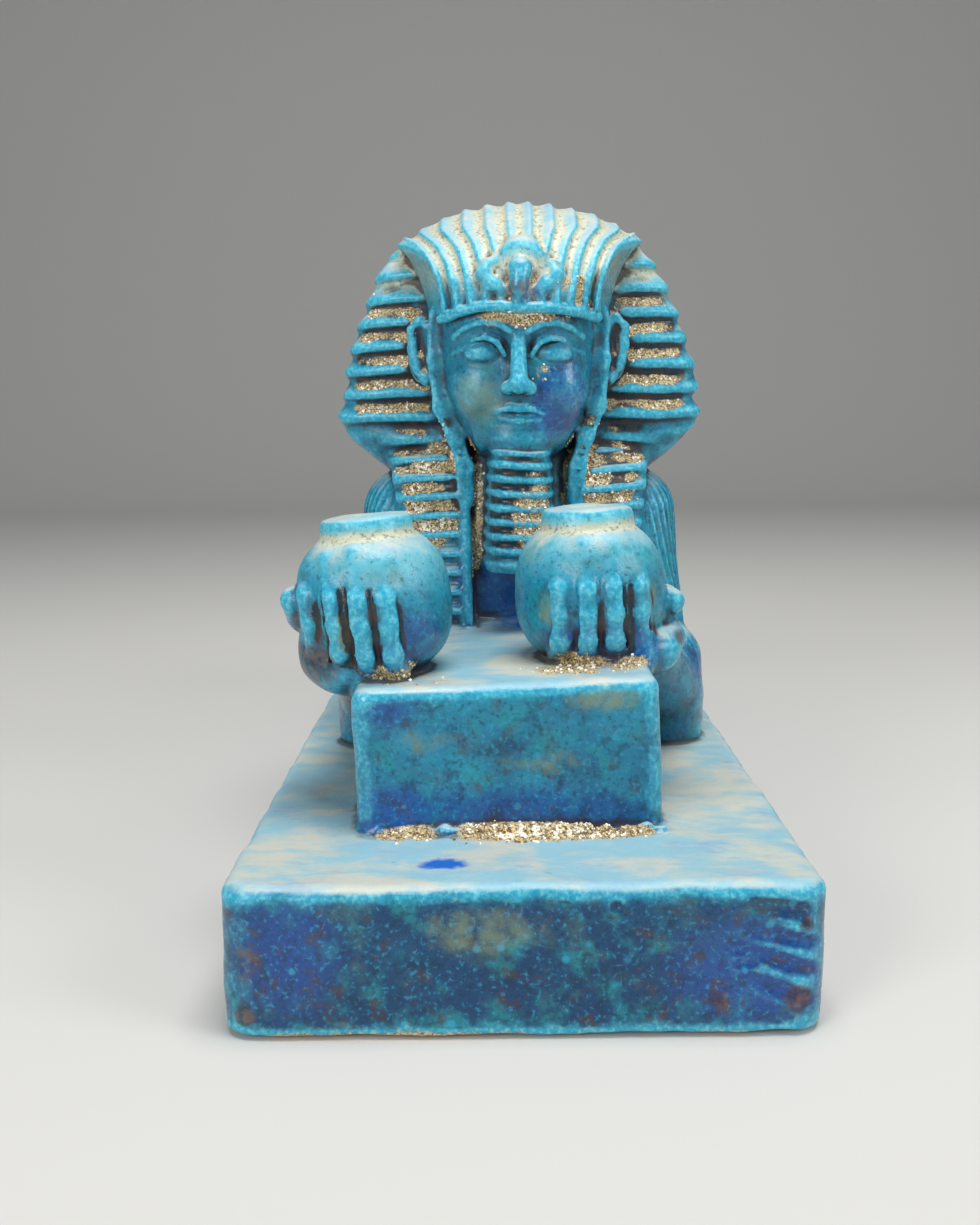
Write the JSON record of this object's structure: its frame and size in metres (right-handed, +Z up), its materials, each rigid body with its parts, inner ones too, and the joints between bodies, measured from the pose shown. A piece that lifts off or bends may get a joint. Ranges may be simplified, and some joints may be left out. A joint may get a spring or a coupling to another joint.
{
  "type": "sphinx statue",
  "caption": "Reclining lion with a human head in a striped headcloth, whose human arms hold out jars over a block, on a thick plinth, in glazed faience",
  "frame": {"origin": "middle of the plinth's underside, on the ground", "axes": "+Z up, +Y back from the face to the rump, so the sphinx looks along -Y, and +X towards the sphinx's left"},
  "size_m": [0.085, 0.23, 0.1259],
  "materials": {
    "faience": "worn turquoise glaze with deeper blue pools and sandy crust in the hollows"
  },
  "bodies": {
    "root": {"sphinx": "faience"}
  },
  "joints": []
}
